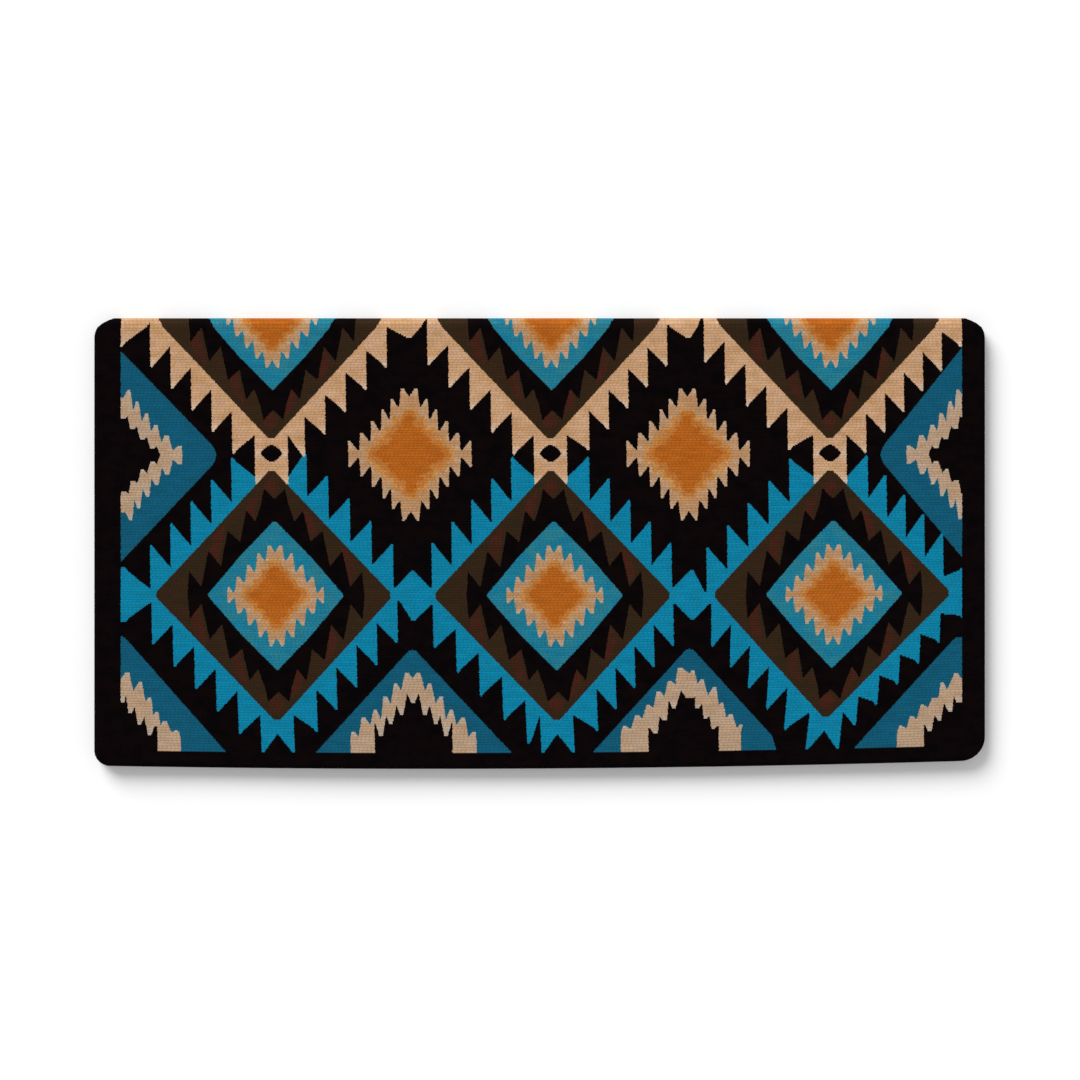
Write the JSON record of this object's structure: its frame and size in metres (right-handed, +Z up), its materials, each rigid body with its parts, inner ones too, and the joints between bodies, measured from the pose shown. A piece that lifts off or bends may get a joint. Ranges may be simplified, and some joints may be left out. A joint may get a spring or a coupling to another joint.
{
  "type": "saddle blanket",
  "caption": "Thick woven wool saddle blanket folded in half, with serrated diamond and chevron pattern areas inlaid in a black ground and a flexing ribbed fold along one long edge.",
  "frame": {"origin": "On the ground plane, at the middle of the folded blanket's footprint.", "axes": "+X runs along the fold to the right as the picture shows it, +Y runs from the open hems towards the fold, +Z points up out of the lying blanket."},
  "size_m": [0.9144, 0.4612, 0.019],
  "materials": {
    "yarn_black": "matt woven wool, black ground",
    "yarn_tan": "matt woven wool, tan with paler tooth tips",
    "yarn_orange": "matt woven wool, burnt orange",
    "yarn_turquoise": "matt woven wool, turquoise",
    "yarn_teal": "matt woven wool, dark teal",
    "yarn_brown": "matt woven wool, dark brown"
  },
  "bodies": {
    "lower_flap": {"lower_cell_left": "yarn_black", "lower_cell_right": "yarn_black", "lower_corner_chevron_left": "yarn_teal", "lower_corner_chevron_right": "yarn_teal", "lower_flame_left": "yarn_orange", "lower_flame_right": "yarn_orange", "lower_fold_frame_left": "yarn_brown", "lower_fold_frame_middle": "yarn_brown", "lower_fold_frame_right": "yarn_brown", "lower_fold_medallion_left": "yarn_black", "lower_fold_medallion_middle": "yarn_black", "lower_fold_medallion_right": "yarn_black", "lower_ground": "yarn_black", "lower_hem_chevron_left": "yarn_teal", "lower_hem_chevron_right": "yarn_teal", "lower_lattice": "yarn_turquoise", "lower_row_frame_left": "yarn_brown", "lower_row_frame_middle": "yarn_brown", "lower_row_frame_right": "yarn_brown", "lower_row_medallion_left": "yarn_black", "lower_row_medallion_middle": "yarn_black", "lower_row_medallion_right": "yarn_black", "lower_side_chevron_left": "yarn_teal", "lower_side_chevron_right": "yarn_teal", "lower_zigzag": "yarn_tan", "rib_1": "yarn_black"},
    "rib_2": {"rib_2": "yarn_black"},
    "rib_3": {"rib_3": "yarn_black"},
    "rib_4": {"rib_4": "yarn_black"},
    "rib_5": {"rib_5": "yarn_black"},
    "rib_6": {"rib_6": "yarn_black"},
    "rib_7": {"rib_7": "yarn_black"},
    "upper_flap": {"upper_cell_left": "yarn_black", "upper_cell_right": "yarn_black", "upper_corner_chevron_left": "yarn_teal", "upper_corner_chevron_right": "yarn_teal", "upper_flame_left": "yarn_orange", "upper_flame_right": "yarn_orange", "upper_fold_frame_left": "yarn_brown", "upper_fold_frame_middle": "yarn_brown", "upper_fold_frame_right": "yarn_brown", "upper_fold_medallion_left": "yarn_black", "upper_fold_medallion_middle": "yarn_black", "upper_fold_medallion_right": "yarn_black", "upper_ground": "yarn_black", "upper_hem_chevron_left": "yarn_teal", "upper_hem_chevron_right": "yarn_teal", "upper_lattice": "yarn_turquoise", "upper_row_frame_left": "yarn_brown", "upper_row_frame_middle": "yarn_brown", "upper_row_frame_right": "yarn_brown", "upper_row_medallion_left": "yarn_black", "upper_row_medallion_middle": "yarn_black", "upper_row_medallion_right": "yarn_black", "upper_side_chevron_left": "yarn_teal", "upper_side_chevron_right": "yarn_teal", "upper_zigzag": "yarn_tan"}
  },
  "joints": [
    {"name": "fold_open", "type": "hinge", "parent": "lower_flap", "child": "upper_flap", "pos_m": [0, 0.22919, 0.0095], "axis": [-1, 0, 0], "range_deg": [0, 180]},
    {"name": "crease_1", "type": "hinge", "parent": "lower_flap", "child": "rib_2", "pos_m": [0, 0.22249, 0.0045], "axis": [-1, 0, 0], "range_deg": [0, 30]},
    {"name": "crease_2", "type": "hinge", "parent": "rib_2", "child": "rib_3", "pos_m": [0, 0.22481, 0.00584], "axis": [-1, 0, 0], "range_deg": [0, 30]},
    {"name": "crease_3", "type": "hinge", "parent": "rib_3", "child": "rib_4", "pos_m": [0, 0.22615, 0.00816], "axis": [-1, 0, 0], "range_deg": [0, 30]},
    {"name": "crease_4", "type": "hinge", "parent": "rib_4", "child": "rib_5", "pos_m": [0, 0.22615, 0.01084], "axis": [-1, 0, 0], "range_deg": [0, 30]},
    {"name": "crease_5", "type": "hinge", "parent": "rib_5", "child": "rib_6", "pos_m": [0, 0.22481, 0.01316], "axis": [-1, 0, 0], "range_deg": [0, 30]},
    {"name": "crease_6", "type": "hinge", "parent": "rib_6", "child": "rib_7", "pos_m": [0, 0.22249, 0.0145], "axis": [-1, 0, 0], "range_deg": [0, 30]}
  ],
  "couplings": [
    {"joint": "crease_1", "follows": "fold_open", "ratio": 0.16667},
    {"joint": "crease_2", "follows": "fold_open", "ratio": 0.16667},
    {"joint": "crease_3", "follows": "fold_open", "ratio": 0.16667},
    {"joint": "crease_4", "follows": "fold_open", "ratio": 0.16667},
    {"joint": "crease_5", "follows": "fold_open", "ratio": 0.16667},
    {"joint": "crease_6", "follows": "fold_open", "ratio": 0.16667}
  ]
}
